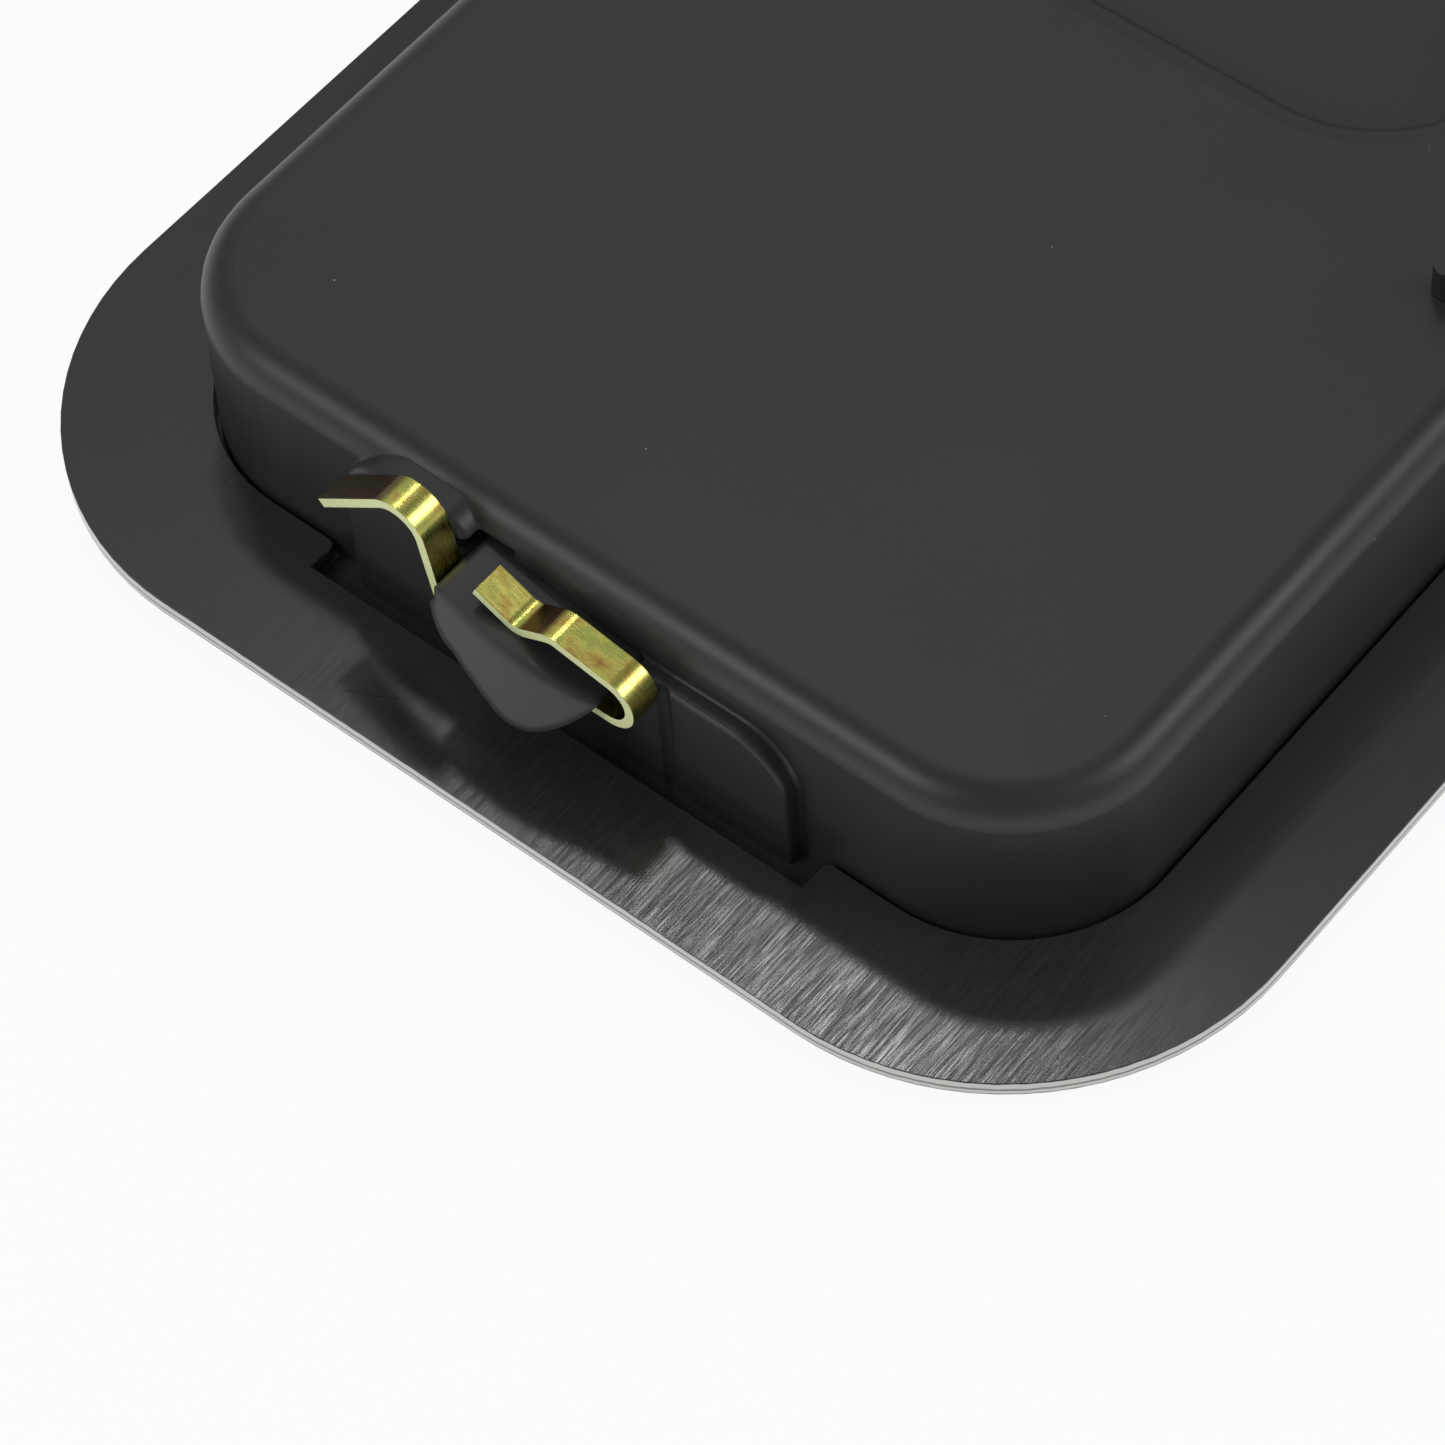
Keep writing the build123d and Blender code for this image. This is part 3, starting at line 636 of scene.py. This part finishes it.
@dataclass
class HousingGroup:
    """Rear housing with the guide and the screws that hold it."""

    dresser: Dresser

    def dress(self) -> None:
        """Puts the moulded and plated finishes on the housing's nodes."""
        self.dresser.dress(MouldedPlastic("moulded_black_nylon"), "rear_housing", "nose_guide")
        self.dresser.dress(TurnedMetal("zinc_plated_steel"), "housing_screws", "pad_screws", "guide_screws")


@dataclass
class BoltGroup:
    """Latch nose with its clip, bar and rivets."""

    dresser: Dresser

    def dress(self) -> None:
        """Puts the acetal, chromate and steel finishes on the bolt's nodes."""
        acetal = MouldedPlastic(
            "moulded_black_acetal",
            colour="#28282a",
            cloud="#2c2c2d",
            roughness=0.38,
            dust_share=0.0,
            edge_mm=1.1,
        )
        self.dresser.dress(acetal, "latch_nose")
        self.dresser.dress(YellowZinc("yellow_chromated_spring_strip"), "nose_clip")
        self.dresser.dress(TurnedMetal("zinc_plated_steel"), "bolt_bar", "bar_rivets")


@dataclass
class LeverGroup:
    """Turn lever with its spindle, crank and small hardware."""

    dresser: Dresser

    def dress(self) -> None:
        """Puts the moulded, steel and brass finishes on the lever's nodes."""
        self.dresser.dress(MouldedPlastic("moulded_black_nylon"), "turn_lever")
        self.dresser.dress(
            TurnedMetal("zinc_plated_steel"),
            "lever_spindle", "lever_pin", "wave_washer", "crank_plate", "crank_pin", "spindle_clip",
        )
        self.dresser.dress(TurnedMetal("turned_brass", colour="#b8944e"), "spindle_bush")


@dataclass(frozen=True)
class Softbox:
    """One square studio lamp, placed by the direction it shines from."""

    name: str
    direction: tuple[float, float, float]
    distance: float
    size: float
    radiance: float

    def hang(self, target: Vector) -> None:
        """Hangs the lamp so that it faces a point.

        Args:
            target: Point that it faces, in metres.
        """
        light = bpy.data.lights.new(self.name, "AREA")
        light.shape = "SQUARE"
        light.size = self.size
        light.energy = self.radiance * math.pi * self.size**2
        lamp = bpy.data.objects.new(self.name, light)
        lamp.location = target + Vector(self.direction).normalized() * self.distance
        lamp.rotation_euler = Vector(self.direction).to_track_quat("Z", "Y").to_euler()
        lamp.visible_camera = False
        bpy.context.scene.collection.objects.link(lamp)
        LOG.info("hung %s", self.name)


@dataclass
class Studio:
    """Plain pale floor, soft lamps and a world that is white round the horizon."""

    low: Vector
    high: Vector
    softboxes: tuple[Softbox, ...] = (
        Softbox("overhead_softbox", (-0.45, 0.43, 0.78), 1.2, 1.0, 0.25),
        Softbox("front_softbox", (-0.39, -0.66, 0.64), 1.2, 0.45, 5.0),
        Softbox("side_softbox", (0.64, 0.42, 0.64), 1.2, 0.45, 4.8),
        Softbox("spot_lamp", (-0.33, 0.39, 0.86), 1.5, 0.12, 17.0),
    )

    def build(self) -> None:
        """Makes the floor, the lamps and the world."""
        self.floor()
        self.world()
        near_end = Vector(((self.low.x + self.high.x) / 2, self.low.y, self.high.z))
        for softbox in self.softboxes:
            softbox.hang(near_end)

    def floor(self) -> None:
        """Lays the floor just under the unit."""
        mesh = bpy.data.meshes.new("studio_floor")
        work = bmesh.new()
        bmesh.ops.create_grid(work, x_segments=1, y_segments=1, size=3.0)
        bmesh.ops.translate(work, verts=work.verts, vec=(0, 0, self.low.z - 0.02 * MM))
        work.to_mesh(mesh)
        work.free()
        floor = bpy.data.objects.new("studio_floor", mesh)
        bpy.context.scene.collection.objects.link(floor)
        mesh.materials.append(self.floor_paint())
        floor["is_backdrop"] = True

    def seen(self, tree: bpy.types.NodeTree) -> bpy.types.NodeSocket:
        """Tells rays that show a surface, directly or in gloss, from rays that only light it.

        Args:
            tree: Node tree that gets the nodes.

        Returns:
            A socket that is 1 for camera, glossy and transmission rays.
        """
        rays = add_node(tree, "ShaderNodeLightPath").outputs
        gloss = maths(tree, "MAXIMUM", rays["Is Glossy Ray"], rays["Is Transmission Ray"])
        return maths(tree, "MAXIMUM", rays["Is Camera Ray"], gloss)

    def floor_paint(self) -> bpy.types.Material:
        """Makes matt white paint that reads as white and still takes a shadow.

        Returns:
            The floor's material.
        """
        material = bpy.data.materials.new("studio_floor_paint")
        material.use_nodes = True
        tree = material.node_tree
        tree.nodes.clear()
        paint = add_node(tree, "ShaderNodeBsdfDiffuse", {"Color": grey(0.82)})
        white = add_node(tree, "ShaderNodeEmission", {"Color": grey(1.0), "Strength": 1.0})
        share = maths(tree, "MULTIPLY", self.seen(tree), 0.93)
        both = add_node(
            tree, "ShaderNodeMixShader", links={0: share, 1: paint.outputs[0], 2: white.outputs[0]}
        )
        add_node(tree, "ShaderNodeOutputMaterial", links={"Surface": both.outputs[0]})
        return material

    def world(self) -> None:
        """Shows white round the horizon, falling to grey overhead, and lights the scene evenly."""
        world = bpy.data.worlds.new("studio_world")
        bpy.context.scene.world = world
        world.use_nodes = True
        tree = world.node_tree
        tree.nodes.clear()
        way = add_node(tree, "ShaderNodeTexCoord").outputs["Generated"]
        height = add_node(tree, "ShaderNodeSeparateXYZ", links={"Vector": way}).outputs["Z"]
        stops = [(0.0, grey(1.0)), (0.04, grey(1.0)), (0.1, grey(0.38)), (0.6, grey(0.25)), (1.0, grey(0.18))]
        tent = ramp(tree, height, stops)
        soft = add_node(tree, "ShaderNodeBackground", {"Color": grey(0.45), "Strength": 1.0})
        shown = add_node(tree, "ShaderNodeBackground", {"Strength": 1.0}, {"Color": tent.outputs["Color"]})
        both = add_node(
            tree, "ShaderNodeMixShader", links={0: self.seen(tree), 1: soft.outputs[0], 2: shown.outputs[0]}
        )
        add_node(tree, "ShaderNodeOutputWorld", links={"Surface": both.outputs[0]})


@dataclass
class Viewpoint:
    """Camera at the photograph's angle: close to the latch end, high and from its right."""

    azimuth_deg: float = 43.07
    elevation_deg: float = 54.79
    roll_deg: float = -4.73
    distance: float = 0.4056
    lens_mm: float = 137.62
    aim: Vector = field(default_factory=lambda: Vector((0.01195, -0.06113, 0.003)))
    shift: tuple[float, float] = (-0.0253, -0.0031)

    def build(self) -> None:
        """Makes the camera and gives it to the scene."""
        azimuth = math.radians(self.azimuth_deg)
        elevation = math.radians(self.elevation_deg)
        roll = math.radians(self.roll_deg)
        back = Vector(
            (math.cos(elevation) * math.sin(azimuth), -math.cos(elevation) * math.cos(azimuth),
             math.sin(elevation))
        )
        level = Vector((math.cos(azimuth), math.sin(azimuth), 0.0))
        upward = back.cross(level)
        right = math.cos(roll) * level + math.sin(roll) * upward
        up = back.cross(right)
        data = bpy.data.cameras.new("photo_camera")
        data.lens = self.lens_mm
        data.sensor_width = 36.0
        data.shift_x, data.shift_y = self.shift
        data.clip_start = 0.01
        camera = bpy.data.objects.new("photo_camera", data)
        turn = Matrix((right, up, back)).transposed()
        camera.matrix_world = Matrix.Translation(self.aim + back * self.distance) @ turn.to_4x4()
        bpy.context.scene.collection.objects.link(camera)
        bpy.context.scene.camera = camera


def main() -> None:
    """Loads the frame, measures its bounds, dresses it, and sets the studio and the camera."""
    logging.basicConfig(level=logging.INFO, format="%(message)s")
    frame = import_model()
    cad_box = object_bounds()
    bpy.context.scene.view_settings.view_transform = "Standard"
    dresser = Dresser(frame["nodes"])
    for group in (FaceGroup, HousingGroup, BoltGroup, LeverGroup):
        group(dresser).dress()
    Studio(*cad_box).build()
    Viewpoint().build()


if __name__ == "__main__":
    main()
